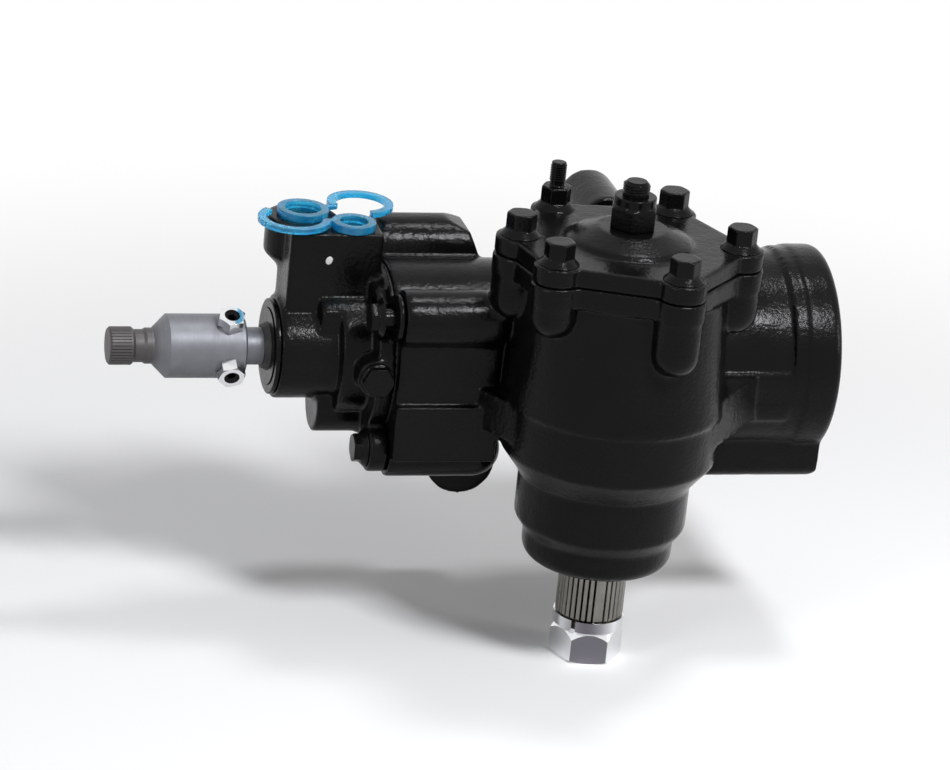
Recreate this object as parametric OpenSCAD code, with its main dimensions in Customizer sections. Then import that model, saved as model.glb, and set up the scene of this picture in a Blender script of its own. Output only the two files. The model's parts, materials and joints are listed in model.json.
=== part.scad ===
// Integral power steering gear: recirculating ball worm, rack piston and sector shaft
// Origin: sector shaft axis at the middle of the pitman spline. +X runs along the worm away
// from the input end, +Y points to the side that bolts to the vehicle frame, +Z is up.

/* [Layout] */
// Distance between the sector shaft axis and the worm axis
centre_distance = 62; // [62:0.5:64]
// Distance from the sector axis to the face that carries the valve housing
flange_dist = 112; // [112:1:120]
// Distance from the sector axis to the closed end of the cylinder
end_dist = 127; // [126:1:135]
// Radial clearance of running and seated fits
fit = 0.03; // [0.02:0.01:0.06]

/* [Cylinder] */
// Radius of the piston bore
bore_r = 41.5; // [41:0.25:43]
// Wall of the cylinder on the right of the tower
cylinder_wall = 11; // [9:0.5:14]
// Height of the raised collar and lower band above the cylinder
band_h = 2; // [0.8:0.2:3]
// Wall of the narrower section between the tower and the valve flange
section_wall = 5.5; // [4:0.5:8]
// Wall that closes the cylinder end
end_wall = 10.5; // [8:0.5:10.5]
// Rounding of the closed end
end_round = 5; // [4:1:12]
// Length of the raised collar at the closed end
collar_len = 26; // [22:1:30]
// Length of the rim at the end of the collar
rim_len = 18; // [12:1:20]
// Height of the rim above the collar
rim_h = 1; // [0.6:0.2:2]

/* [Tower] */
// Height of the cover seat above the worm axis
seat_h = 73; // [72:1:84]
// Tower radius at the cover seat
tower_top_r = 51.5; // [51:0.5:53]
// Tower radius at its lower step
tower_base_r = 58; // [56.5:0.5:62]
// Drop from the worm axis to the lower step
step_drop = 4; // [1:1:10]
// Radius of the ring under the step
ring_r = 56.5; // [54:0.5:58]
// Drop from the worm axis to the foot of the ring
ring_drop = 31; // [29:1:36]
// Radius of the neck
neck_r = 45; // [42:0.5:50]
// Drop from the worm axis to the top of the neck
neck_drop = 46; // [42:1:52]
// Drop from the worm axis to the foot of the neck
neck_end_drop = 70; // [64:1:74]
// Radius of the nose round the sector shaft
nose_r = 39.5; // [34:0.5:41]
// Drop from the worm axis to the top of the nose
nose_top_drop = 78; // [76:1:80]
// Drop from the worm axis to the bottom face of the nose
nose_drop = 93.5; // [92:0.5:98]
// Rounding of the nose
nose_round = 8; // [3:0.5:9]
// Radius of the cavity round the sector
cavity_r = 43.8; // [43.2:0.1:44.2]
// Drop from the worm axis to the cavity floor
cavity_drop = 29; // [27:1:31]

/* [Sector cover] */
// Thickness of the cover plate
cover_t = 10; // [8:0.5:13]
// Radius of the circle of cover bolts
cover_bolt_circle = 57; // [56:0.5:60]
// Radius of the lobe round each cover bolt
cover_lobe_r = 12.5; // [11:0.5:14]
// Radius of the dome at its foot
dome_foot_r = 33; // [31:0.5:40]
// Radius of the dome at its top
dome_top_r = 18; // [16:0.5:22]
// Height of the dome above the cover plate
dome_h = 8; // [6:0.5:12]
// Width across the flats of the bolt heads
bolt_af = 14; // [12:0.5:17]
// Height of the cover bolt heads above their flange
bolt_head_h = 9; // [7:0.5:11]
// Height of the valve bolt heads above their flange
valve_head_h = 4; // [3:0.5:8]
// Radius of the bolt flange
bolt_flange_r = 11; // [9.5:0.5:12]
// Radius of the cover and valve bolts
bolt_r = 5; // [4:0.5:6]
// Depth of the cover bolts in the housing
bolt_depth = 22; // [16:1:26]
// Length of the stud above its bolt head
stud_len = 13; // [8:1:20]
// Radius of the stud above its bolt head
stud_r = 3.9; // [3:0.1:4.5]

/* [Lash adjuster] */
// Radius of the adjuster stud
adjuster_r = 6.6; // [6:0.2:8]
// Length of the adjuster stud above the dome
adjuster_out = 25; // [22:1:32]
// Width across the flats of the lock nut
adjuster_nut_af = 22.5; // [18:0.5:24]
// Height of the hexagon of the lock nut
adjuster_nut_h = 12; // [8:1:14]
// Height of the round collar on the lock nut
adjuster_collar_h = 5; // [3:0.5:6]

/* [Sector shaft] */
// Radius of the shaft journals
journal_r = 19; // [18.5:0.25:19.5]
// Radius over the pitman spline
spline_r = 17.9; // [17.5:0.1:18.2]
// Length of the pitman spline
spline_len = 31; // [26:1:36]
// Depth of the spline grooves
spline_depth = 1.1; // [0.6:0.1:1.6]
// Radius of the pitman thread
pitman_thread_r = 11.1; // [9:0.1:12]
// Width across the flats of the pitman nut
pitman_nut_af = 33.3; // [30:0.1:36]
// Height of the pitman nut
pitman_nut_h = 18; // [12:0.5:20]
// Thickness of the lock washer
lock_washer_t = 6; // [4:0.5:7]
// Outer radius of the lock washer
lock_washer_r = 18.6; // [17:0.2:20]
// Pitch radius of the sector teeth
pitch_r = 36; // [36:0.25:36.5]
// Tooth height above the pitch circle
addendum = 6.2; // [5.6:0.1:6.3]
// Tooth depth below the pitch circle
dedendum = 7.2; // [7:0.1:7.6]
// Pressure angle of the teeth
pressure_angle = 25; // [24.5:0.5:27]
// Play between the teeth
backlash = 0.4; // [0.3:0.05:0.8]
// Width of the sector teeth along the shaft
tooth_face = 44; // [36:1:46]
// Wall of the needle bearing and the cover bushing
sleeve_wall = 3; // [2.5:0.25:4]

/* [Rack piston and worm] */
// Clearance of the piston in its bore
piston_gap = 0.5; // [0.35:0.05:0.8]
// Reach of the piston towards the valve end
piston_left = 60; // [54:1:60]
// Reach of the piston towards the closed end
piston_right = 84; // [82:1:84]
// Length of the full round skirt that carries the piston ring
skirt_len = 18; // [14:1:18]
// Radius of the steel balls
ball_r = 3.5; // [3:0.1:3.6]
// Radius of the circle the balls run on
ball_circle_r = 12.5; // [12.2:0.1:12.8]
// Turns of the worm for one turn of the sector shaft
gear_ratio = 17; // [16.5:0.5:18]

/* [Valve housing] */
// Radius of the snout round the input shaft
snout_r = 27; // [25.5:0.5:30]
// Length of the valve housing from its flange to the snout face
snout_len = 56.5; // [55:0.5:66]
// Thickness of the valve flange
flange_t = 10; // [8:0.5:13]
// Radius of the circle of valve bolts
valve_bolt_circle = 54.6; // [54:0.2:58]
// Angle of the first valve bolt from straight up
valve_bolt_angle = 53; // [49:1:57]
// Radius of the lobe round each valve bolt
valve_lobe_r = 15; // [13:0.5:18]
// Height of the port block above the worm axis
block_h = 67; // [64:1:74]
// Width of the port block along the worm axis
block_w = 49; // [47:1:51]
// Reach of the port block in front of the worm axis
block_front = 22; // [20:1:26]
// Reach of the port block behind the worm axis
block_back = 16; // [14:1:20]
// Radius of the valve sleeve
sleeve_r = 22.5; // [22:0.1:23]
// Radius of the valve part of the input shaft
spool_r = 14.5; // [14:0.1:15]

/* [Ports] */
// Offset of the pressure port from the flange face
pressure_port_x = 19.5; // [19:0.5:21]
// Offset of the pressure port behind the worm axis
pressure_port_y = -3; // [-5:0.5:-2]
// Offset of the return port from the flange face
return_port_x = 42.5; // [42:0.5:44]
// Offset of the return port behind the worm axis
return_port_y = 16.6; // [16:0.2:18]
// Radius of the pressure plug flange
pressure_plug_r = 11.5; // [10.5:0.25:12]
// Radius of the return plug flange
return_plug_r = 13.5; // [12:0.25:14]
// Thickness of the plug flanges and pull rings
plug_t = 4; // [3:0.25:5]
// Depth of the plugs in their ports
plug_depth = 12; // [9:0.5:15]
// Width of the pull rings
pull_w = 4.4; // [3.5:0.1:5]

/* [Input] */
// Radius of the input shaft
input_r = 9.8; // [9.5:0.1:10]
// Radius of the coupler body
coupler_r = 16.75; // [15.5:0.25:18]
// Length of the coupler body
coupler_len = 41.5; // [38:0.5:50]
// Length of the cone between the coupler body and its nose
coupler_cone = 6.4; // [4:0.2:9]
// Radius of the splined nose
nose_spline_r = 10; // [9.6:0.1:10.4]
// Length of the splined nose with its clamp groove
nose_spline_len = 23; // [22:1:32]
// Gap between the coupler and the dust seal
coupler_gap = 10; // [8:0.5:12]
// Width across the flats of the set screw nuts
set_nut_af = 12.7; // [11:0.1:14]
// Radius of the set screws
set_screw_r = 4; // [3:0.1:4.5]
// Angle of the first set screw from straight up towards the front
set_screw_angle = 25; // [10:1:30]

/* [Frame bosses] */
// Radius of the lower frame bosses
boss_r = 19; // [17:0.5:22]
// Radius of the upper frame boss
upper_boss_r = 15; // [13:0.5:17]
// Depth of the boss faces behind the worm axis
boss_back = 48; // [46:1:58]
// Radius of the tapped frame holes
frame_hole_r = 6.5; // [5:0.25:8]
// Depth of the tapped frame holes
frame_hole_len = 22; // [18:1:26]
// Offset of the upper boss along the worm axis
upper_boss_x = 6.5; // [2:0.5:8]
// Height of the upper boss above the worm axis
upper_boss_z = 68; // [64:1:70]
// Offset of the lower left boss along the worm axis
left_boss_x = -55; // [-62:1:-52]
// Drop of the lower left boss below the worm axis
left_boss_drop = 74; // [66:1:76]
// Offset of the lower right boss along the worm axis
right_boss_x = 103; // [98:1:104]
// Drop of the lower right boss below the worm axis
right_boss_drop = 54; // [52:1:60]

/* [Hidden] */
$fn = 72;

enamel = [0.07, 0.07, 0.075];
steel = [0.62, 0.63, 0.64];
zinc = [0.78, 0.79, 0.8];
bronze = [0.62, 0.47, 0.25];
rubber = [0.12, 0.12, 0.12];
blackened = [0.16, 0.16, 0.17];
plastic_blue = [0.1, 0.6, 0.85];

// Room round pieces that pass each other without touching
pass_gap = 0.5;
// Overlap that keeps cuts clear of coincident faces
cut = 1;

// Heights and stations that follow from the layout
worm_height = nose_drop + spline_len / 2;
seat_z = worm_height + seat_h;
plate_top_z = seat_z + cover_t;
dome_top_z = plate_top_z + dome_h;
cavity_floor_z = worm_height - cavity_drop;
nose_z = worm_height - nose_drop;
flange_x = -flange_dist;
cylinder_r = bore_r + cylinder_wall;
collar_r = cylinder_r + band_h;
rim_r = collar_r + rim_h;
band_r = cylinder_r + band_h * 0.8;
section_r = bore_r + section_wall;
bore_end = end_dist - end_wall;
rack_offset = centre_distance - pitch_r;

// Cover bolts: angle round the sector axis and depth of the housing lobe under each
cover_spots = [[-10, 36], [52, 30], [119, 30], [171, 36], [215, 30], [283, 42]];
stud_spot = 2;
stud_bolt_at = [cover_spots[stud_spot]];
cover_bolts_at = [for (i = [0:len(cover_spots) - 1]) if (i != stud_spot) cover_spots[i]];
cover_edge = 7.5;
tower_flange_t = 11;
tower_flange_over = 0.6;
bolt_flange_t = 3;

// Lower band, front pad, hump, foot and webs of the housing
band_top = 6;
panel_x = [78, 100];
panel_z = [-22, -12];
panel_h = 1;
lobe_ends = [-50, -50, -60, -66];
section_end = -57.5;
pad_front = 54;
pad_top = -13;
pad_w = 34;
face_front = 50.5;
face_top = 27;
face_end = -59;
hump_top = 61;
hump_back = 49;
hump_w = 33;
hump_end = -60;
hump_slope = 15;
hump_knee = 6;
hump_knee_drop = 5;
hump_draft = 2;
foot_front = 38;
foot_w = 26;
foot_drop = 61;
foot_from = 40;
foot_inset = 1.5;
foot_notch_x = 88;
foot_notch_r = 3;
gusset_reach = 84;
gusset_back = 12;
gusset_drop = 20;
left_gusset_reach = 70;
left_gusset_top = -3;
left_gusset_drop = 24;
boss_len = 28;
upper_boss_len = 46;
upper_web_w = 20;
upper_web_y = 40;
upper_web_z = [40, 69];
web_w = 34;

// Sector shaft stations, from the nose up
bearing_bore_r = journal_r + sleeve_wall;
bush_top_z = dome_top_z - 9;
shaft_top_z = bush_top_z - 3;
boss_drop = 28;
seal_band = [0, 4.5, 5, 7, 7.5, 15, 15.5, 45];
lash_pocket_r = 10;
lash_pocket_depth = 14;
lash_head_h = 5;
ring_groove = 1.4;
boss_wall = 5;
pilot_h = 5;
seal_gap = 1.5;
seal_w = 2;
adjuster_nut_turn = 12;
pitman_nut_turn = 8;
thread_end_z = -spline_len / 2 - lock_washer_t - pitman_nut_h + 0.5;
spline_groove_w = 1.2;
spline_count = 36;
spline_blank = 9;
spline_runout = 3;
washer_split = 2.5;
washer_split_angle = 230;
nut_crown = 5;
adjuster_collar_r = 11;

// End stop screw in the closed end
stop_r = 7;
stop_af = 22;
stop_head_h = 5;
stop_washer_t = 1.5;

// Worm line stations
spigot_len = 13;
worm_head_x = flange_x - 5;
worm_journal_r = 15;
worm_bearing_r = 29;
thread_from = -78;
thread_to = 27;
slices_per_turn = 14;
bar_reach = 20;
bar_end_x = flange_x + bar_reach;
torsion_pin_inset = 9;
torsion_pin_sunk = 0.3;
snout_x = flange_x - snout_len;
adjuster_thread_r = snout_r - 7;
adjuster_depth = 15;
adjuster_bore_r = input_r + 6.2;
dust_seal_x = snout_x - 3;
coupler_x = dust_seal_x - 3 - coupler_gap;
coupler_left = coupler_x - coupler_len;
nose_x = coupler_left - coupler_cone;
input_end = nose_x - nose_spline_len;
socket_len = 33;
stub_left = coupler_x - socket_len;
spool_left = snout_x + adjuster_depth + 1;
sleeve_left = spool_left + 2;
set_screw_x = coupler_x - 8.5;
set_nut_seat = coupler_r - 0.8;
set_nut_h = 7;
set_screw_sunk = 1.6;
set_socket_r = 2.3;
set_socket_depth = 4;
bar_r = 4.5;
bar_waist_r = 3.6;
bar_grip = 18;
adjuster_lip = 3;
dust_seal_w = 3;
pin_r = 2;
pin_half = 4.5;
pin_circle_r = (sleeve_r + spool_r) / 2;
worm_neck_r = ball_circle_r - ball_r - 0.6;
stub_pilot_r = 8.5;
pilot_len = 11;
torsion_pin_r = 1.8;
spool_slot_w = 4;
spool_slot_depth = 1.2;
sleeve_ring_w = 2.5;
sleeve_ring_stations = [4, 14, 24];
sleeve_port_at = 20.5;
sleeve_port_r = 2.4;
nose_band = 12;
clamp_groove_r = 8.6;
nose_groove_depth = 0.8;
nose_groove_w = 0.36;
nose_spline_count = 36;

// Rack and sector teeth
tooth_pitch_angle = 40;
tooth_pitch = 2 * PI * pitch_r * tooth_pitch_angle / 360;
sector_tip_r = pitch_r + addendum;
sector_root_r = pitch_r - dedendum;
base_r = pitch_r * cos(pressure_angle);
rack_tip = rack_offset + addendum;
rack_root = rack_offset - dedendum;
piston_r = bore_r - piston_gap;
lead = 2 * PI * pitch_r / gear_ratio;
nut_bore_r = ball_circle_r + 0.9;
worm_r = ball_circle_r - 0.8;
groove_r = ball_r + 0.4;
balls_per_turn = 10;
ball_turns = 3;
ball_start = -45;

// Return guides on the back of the piston
guide_r = 4;
guide_bend = 13;
guide_x = -25;
guide_floor = 20;
guide_side = 4.5;
guide_leg = 3.5;
guide_rise = guide_bend + guide_r + fit;
clamp_t = 2;
clamp_half = 12;
clamp_w = 10;
pocket_half = guide_bend + guide_r + 3;
pocket_side = clamp_half + 1;
ring_depth = 3;
ring_w = 5;
ring_from = piston_right - 12;
rack_plug_len = 22;

// Ports on the port block
block_right = flange_x - 5;
block_top_z = worm_height + block_h;
port_inset = 2.5;
port_depth = plug_depth + 8;
seat_ring_h = 6;
gallery_r = 4;
plug_wall = 1.6;
ring_lift = 1;
link_inset = 0.4;
pressure_at = [flange_x - pressure_port_x, centre_distance + pressure_port_y];
return_at = [flange_x - return_port_x, centre_distance + return_port_y];
pressure_ring_x = 50;
pressure_ring_y = 2;
pressure_ring_at = [flange_x - pressure_ring_x, centre_distance + pressure_ring_y];
pressure_ring_r = 19;
pressure_ring_span = [130, 351];
return_ring_x = 10;
return_ring_y = 26;
return_ring_at = [flange_x - return_ring_x, centre_distance + return_ring_y];
return_ring_r = 17.5;
return_ring_span = [-80, 196];

// Passage plug on the front of the valve flange
passage_boss_r = 10;
passage_x = flange_x - passage_boss_r - pass_gap;
passage_af = 15;
passage_r = 6;
passage_depth = 9;
passage_head_h = 4;

// Valve housing forms
valve_body_r = 35;
valve_body_len = 26;
flange_r = 46;
passage_front = flange_r + pass_gap;
ear_r = 12.5;
port_boss_r = 19;
port_boss_h = 20;
port_boss_taper = 9;
low_lobe_len = 34;
low_lobe_y = -4;
low_lobe_drop = 29;
low_lobe_r = 16;

function arc(cx, cy, r, from, to, steps = 6) =
    [for (i = [0:steps]) let (a = from + (to - from) * i / steps) [cx + r * cos(a), cy + r * sin(a)]];

function involute(a) = tan(a) - a * PI / 180;

// Half angle of a sector tooth at a radius
function tooth_half(r) =
    ((tooth_pitch - backlash) / 4 / pitch_r + involute(pressure_angle) - involute(acos(base_r / r)))
    * 180 / PI;

function polar(r, a) = [r * cos(a), r * sin(a)];

// Radius of the worm section at an angle from the middle of its ball groove
function groove_section(a) =
    let (side = lead * a / 360)
    abs(side) >= groove_r ? worm_r
        : min(worm_r, ball_circle_r - sqrt(groove_r * groove_r - side * side));

module along_x() translate([0, centre_distance, worm_height]) rotate([0, 90, 0]) children();

// Revolves an outline of radius against X station about the worm axis
module turned_x(outline) along_x() rotate_extrude() polygon(outline);

// Revolves an outline of radius against height about the sector axis
module turned_z(outline) rotate_extrude() polygon(outline);

// Extrudes a Y and Z outline, drawn about the worm axis, from one X station to another
module across(from, to)
    translate([from, centre_distance, worm_height]) rotate([90, 0, 90])
        linear_extrude(to - from) children();

module tube_x(outer, inner, from, to)
    turned_x([[inner, from], [outer, from], [outer, to], [inner, to]]);

module tube_z(outer, inner, from, to)
    turned_z([[inner, from], [outer, from], [outer, to], [inner, to]]);

// Round boss from z = 0 down to a domed end
module domed_boss(r, length)
    rotate_extrude() polygon(concat([[0, 0], [0, -length]], arc(0, r - length, r, -90, 0), [[r, 0]]));

module at_cover(spots)
    for (spot = spots) rotate(spot[0]) translate([cover_bolt_circle, 0, plate_top_z]) children();

module at_valve_bolt(i, station) {
    a = valve_bolt_angle + 90 * i;
    translate([
        station,
        centre_distance - valve_bolt_circle * sin(a),
        worm_height + valve_bolt_circle * cos(a)
    ]) rotate([0, -90, 0]) children();
}

module at_valve_bolts(station) for (i = [0:3]) at_valve_bolt(i, station) children();

module at_set_screws()
    for (a = [set_screw_angle, set_screw_angle + 90])
        translate([set_screw_x, centre_distance, worm_height]) rotate([a, 0, 0]) children();

// Hexagon with both corners turned off, standing on z = 0, and its upper end crowned if asked
module hexagon(af, h, crown = 0) {
    corner = af / 2 / cos(30);
    turn = (corner - af / 2) / 2;
    intersection() {
        cylinder(r = corner, h = h, $fn = 6);
        rotate_extrude() polygon([
            [0, 0], [af / 2, 0], [corner, turn], [corner, h - max(turn, crown)], [af / 2 - crown / 4, h], [0, h]
        ]);
    }
}

// Bolt with a flanged hexagon head, seated at z = 0 with its shank below
module flange_bolt(shank, head_h) {
    translate([0, 0, -shank]) cylinder(r = bolt_r, h = shank + bolt_flange_t + head_h / 2);
    cylinder(r1 = bolt_flange_r, r2 = bolt_af / 2 + 1, h = bolt_flange_t);
    translate([0, 0, bolt_flange_t]) hexagon(bolt_af, head_h);
}

module ring_nut(af, h, bore, crown = 0) difference() {
    hexagon(af, h, crown);
    translate([0, 0, -cut]) cylinder(r = bore, h = h + 2 * cut);
}

// Frame boss: a round boss along Y with its face towards the frame
module frame_boss(r, x, z, length)
    translate([x, centre_distance + boss_back, worm_height + z]) rotate([90, 0, 0])
        cylinder(r = r, h = length);

module frame_hole(x, z)
    translate([x, centre_distance + boss_back + cut, worm_height + z]) rotate([90, 0, 0])
        cylinder(r = frame_hole_r, h = frame_hole_len + cut);

// Housing: cylinder with its raised collar, lower band and foot
module housing_cylinder() {
    collar_x = end_dist - collar_len;
    turned_x(concat(
        [
            [0, 0], [cylinder_r, 0], [cylinder_r, collar_x], [collar_r, collar_x],
            [collar_r, end_dist - rim_len], [rim_r, end_dist - rim_len]
        ],
        arc(rim_r - end_round, end_dist - end_round, end_round, 0, 90),
        [[0, end_dist]]
    ));
    intersection() {
        turned_x([[0, 0], [band_r, 0], [band_r, collar_x + cut], [0, collar_x + cut]]);
        translate([0, centre_distance - rim_r, worm_height + band_top - 2 * rim_r])
            cube([end_dist, 2 * rim_r, 2 * rim_r]);
    }
    intersection() {
        tube_x(band_r + panel_h, cylinder_r - cut, 0, collar_x);
        translate([panel_x[0], centre_distance - rim_r, worm_height + panel_z[0]])
            cube([panel_x[1] - panel_x[0], rim_r, panel_z[1] - panel_z[0]]);
    }
    difference() {
        across(foot_from, end_dist - foot_inset)
            translate([-foot_front, -foot_drop]) square([foot_w, foot_drop - bore_r + 8]);
        translate([foot_notch_x, centre_distance - foot_front - cut, worm_height - foot_drop])
            rotate([-90, 0, 0]) cylinder(r = foot_notch_r, h = foot_w + 2 * cut);
    }
}

// Housing: section between the tower and the valve flange, with its lobes, front pad and hump
module housing_section() {
    low_lobe_z = valve_bolt_circle * cos(valve_bolt_angle + 90);
    turned_x([[0, flange_x], [section_r, flange_x], [section_r, 0], [0, 0]]);
    for (i = [0:3]) at_valve_bolt(i, flange_x) domed_boss(valve_lobe_r, lobe_ends[i] - flange_x);
    across(flange_x, section_end)
        translate([-pad_front, low_lobe_z]) square([pad_w, pad_top - low_lobe_z]);
    across(flange_x, face_end)
        translate([-face_front, pad_top - cut]) square([pad_w, face_top - pad_top + cut]);
    translate([0, centre_distance + hump_back, worm_height]) rotate([90, 0, 0]) linear_extrude(hump_w)
        polygon([
            [flange_x, bore_r / 2], [flange_x, hump_top], [hump_end - hump_slope, hump_top],
            [hump_end - hump_knee, hump_top - hump_knee_drop], [hump_end - hump_draft, hump_top - hump_slope],
            [hump_end, bore_r / 2]
        ]);
}

// Outline shared by the sector cover and the tower's flange: edges that join a lobe at each bolt
module cover_outline(over) {
    polygon([for (spot = cover_spots) polar(cover_bolt_circle + cover_edge + over, spot[0])]);
    for (spot = cover_spots) rotate(spot[0]) translate([cover_bolt_circle, 0]) circle(cover_lobe_r + over);
}

// Housing: tower round the sector shaft, with its flange and a lobe under each cover bolt
module housing_tower() {
    turned_z(concat(
        [[0, nose_z]],
        arc(nose_r - nose_round, nose_z + nose_round, nose_round, -90, 0),
        [
            [nose_r, worm_height - nose_top_drop], [neck_r, worm_height - neck_end_drop],
            [neck_r, worm_height - neck_drop], [ring_r, worm_height - ring_drop],
            [ring_r, worm_height - step_drop], [tower_base_r, worm_height - step_drop],
            [tower_top_r, seat_z], [0, seat_z]
        ]
    ));
    translate([0, 0, seat_z - tower_flange_t]) linear_extrude(tower_flange_t) cover_outline(tower_flange_over);
    for (spot = cover_spots)
        rotate(spot[0]) translate([cover_bolt_circle, 0, seat_z - cut]) domed_boss(cover_lobe_r, spot[1] - cut);
}

// Housing: webs in the corners between the tower and the worm line
module housing_gussets() {
    corner = ring_r / sqrt(2);
    translate([0, 0, worm_height - gusset_drop]) linear_extrude(gusset_drop + band_top - cut)
        polygon([
            [0, -corner], [corner, -corner], [gusset_reach, gusset_back],
            [gusset_reach, centre_distance], [0, centre_distance]
        ]);
    translate([0, 0, worm_height - left_gusset_drop]) linear_extrude(left_gusset_drop + left_gusset_top)
        polygon([
            [0, -corner], [-corner, -corner], [-left_gusset_reach, gusset_back],
            [-left_gusset_reach, centre_distance], [0, centre_distance]
        ]);
}

// Housing: bosses that bolt to the vehicle frame, with their webs
module housing_bosses() {
    frame_boss(upper_boss_r, upper_boss_x, upper_boss_z, upper_boss_len);
    frame_boss(boss_r, left_boss_x, -left_boss_drop, boss_len);
    frame_boss(boss_r, right_boss_x, -right_boss_drop, boss_len);
    translate([upper_boss_x - upper_web_w / 2, upper_web_y, worm_height + upper_web_z[0]])
        cube([upper_web_w, centre_distance + boss_back - cut - upper_web_y, upper_web_z[1] - upper_web_z[0]]);
    translate([
        left_boss_x - web_w / 2,
        centre_distance + boss_back - boss_len + 2,
        worm_height - left_boss_drop
    ]) cube([web_w, boss_len - 4, left_boss_drop - bore_r + 8]);
}

module gear_housing() color(enamel) difference() {
    union() {
        housing_cylinder();
        housing_section();
        housing_tower();
        housing_gussets();
        housing_bosses();
    }
    turned_x([[0, flange_x - cut], [bore_r, flange_x - cut], [bore_r, bore_end], [0, bore_end]]);
    tube_z(cavity_r, 0, cavity_floor_z, seat_z + cut);
    tube_z(bearing_bore_r, 0, nose_z - cut, cavity_floor_z + cut);
    tube_z(bearing_bore_r + ring_groove, 0, nose_z + seal_band[2], nose_z + seal_band[3]);
    at_cover(cover_spots) translate([0, 0, -cover_t - bolt_depth - cut])
        cylinder(r = bolt_r + fit, h = bolt_depth + 2 * cut);
    at_valve_bolts(flange_x) translate([0, 0, -bolt_depth - cut])
        cylinder(r = bolt_r + fit, h = bolt_depth + 2 * cut);
    frame_hole(upper_boss_x, upper_boss_z);
    frame_hole(left_boss_x, -left_boss_drop);
    frame_hole(right_boss_x, -right_boss_drop);
    tube_x(stop_r + fit, 0, bore_end - cut, end_dist + cut);
}

module sector_cover() color(enamel) difference() {
    union() {
        translate([0, 0, seat_z]) linear_extrude(cover_t) cover_outline(0);
        turned_z([
            [0, plate_top_z - cut], [dome_foot_r, plate_top_z - cut], [dome_foot_r, plate_top_z],
            [dome_foot_r - 2, plate_top_z + dome_h / 3], [dome_top_r, dome_top_z], [0, dome_top_z]
        ]);
        tube_z(cavity_r - fit, 0, seat_z - pilot_h, plate_top_z);
        tube_z(bearing_bore_r + boss_wall, 0, seat_z - boss_drop, plate_top_z);
    }
    tube_z(bearing_bore_r, 0, seat_z - boss_drop - cut, bush_top_z);
    tube_z(adjuster_r + fit, 0, bush_top_z - cut, dome_top_z + cut);
    tube_z(cavity_r + seal_gap + seal_w, cavity_r + seal_gap, seat_z - cut, seat_z + seal_w);
    at_cover(cover_spots) translate([0, 0, -cover_t - cut]) cylinder(r = bolt_r + pass_gap, h = cover_t + 2 * cut);
}

module cover_seal() color(rubber)
    tube_z(cavity_r + seal_gap + seal_w - fit, cavity_r + seal_gap + fit, seat_z, seat_z + seal_w);

module cover_bolts() color(enamel) at_cover(cover_bolts_at) flange_bolt(cover_t + bolt_depth, bolt_head_h);

module stud_bolt() color(enamel) at_cover(stud_bolt_at) {
    flange_bolt(cover_t + bolt_depth, bolt_head_h);
    cylinder(r = stud_r, h = bolt_flange_t + bolt_head_h + stud_len);
}

module lash_adjuster() color(blackened) {
    head_z = shaft_top_z - lash_pocket_depth + pass_gap;
    turned_z([
        [0, head_z], [lash_pocket_r - pass_gap, head_z], [lash_pocket_r - pass_gap, head_z + lash_head_h],
        [adjuster_r, head_z + lash_head_h], [adjuster_r, dome_top_z + adjuster_out - 1.5],
        [adjuster_r - 1.5, dome_top_z + adjuster_out], [0, dome_top_z + adjuster_out]
    ]);
}

module adjuster_nut() color(enamel) translate([0, 0, dome_top_z]) rotate(adjuster_nut_turn) {
    ring_nut(adjuster_nut_af, adjuster_nut_h, adjuster_r + fit);
    tube_z(adjuster_collar_r, adjuster_r + fit, adjuster_nut_h / 2, adjuster_nut_h + adjuster_collar_h);
}

module cover_bushing() color(bronze)
    tube_z(bearing_bore_r - fit, journal_r + fit, seat_z - boss_drop, bush_top_z - 2);

module sector_bearing() color(steel)
    tube_z(bearing_bore_r - fit, journal_r + fit, nose_z + seal_band[6], nose_z + seal_band[7]);

module sector_seal() color(rubber)
    tube_z(bearing_bore_r - fit, journal_r + fit, nose_z + seal_band[4], nose_z + seal_band[5]);

module seal_retaining_ring() color(steel)
    tube_z(bearing_bore_r + ring_groove - fit, journal_r + pass_gap, nose_z + seal_band[2], nose_z + seal_band[3]);

module dirt_seal() color(rubber)
    tube_z(bearing_bore_r - fit, journal_r + fit, nose_z + seal_band[0], nose_z + seal_band[1]);

module end_stop_screw() color(zinc) {
    tube_x(stop_r, 0, bore_end, end_dist + stop_washer_t + stop_head_h / 2);
    translate([end_dist + stop_washer_t, centre_distance, worm_height]) rotate([0, 90, 0])
        hexagon(stop_af, stop_head_h);
}

module end_stop_washer() color(bronze)
    tube_x(stop_af / 2 + 2, stop_r + fit, end_dist, end_dist + stop_washer_t);

// Places a child on the front of the valve housing, facing the viewer
module front_facing(x, front, z)
    translate([x, centre_distance - front, worm_height + z]) rotate([90, 0, 0]) children();

module valve_body() {
    tube_x(snout_r, 0, snout_x, flange_x);
    tube_x(valve_body_r, 0, flange_x - valve_body_len, flange_x);
    across(flange_x - flange_t, flange_x) {
        circle(flange_r);
        for (i = [0:3])
            rotate(valve_bolt_angle + 90 * i) translate([0, valve_bolt_circle]) circle(ear_r);
    }
    translate([block_right - block_w, centre_distance - block_front, worm_height])
        cube([block_w, block_front + block_back, block_h]);
    translate([return_at.x, return_at.y, block_top_z - port_boss_h]) {
        cylinder(r = port_boss_r, h = port_boss_h);
        translate([0, 0, -port_boss_taper])
            cylinder(r1 = port_boss_r - port_boss_taper, r2 = port_boss_r, h = port_boss_taper);
    }
    front_facing(passage_x, passage_front, 0) translate([0, 0, -passage_front])
        cylinder(r = passage_boss_r, h = passage_front);
    across(flange_x - low_lobe_len, flange_x) translate([low_lobe_y, -low_lobe_drop]) circle(low_lobe_r);
    tube_x(bore_r - fit, 0, flange_x, flange_x + spigot_len);
}

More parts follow.
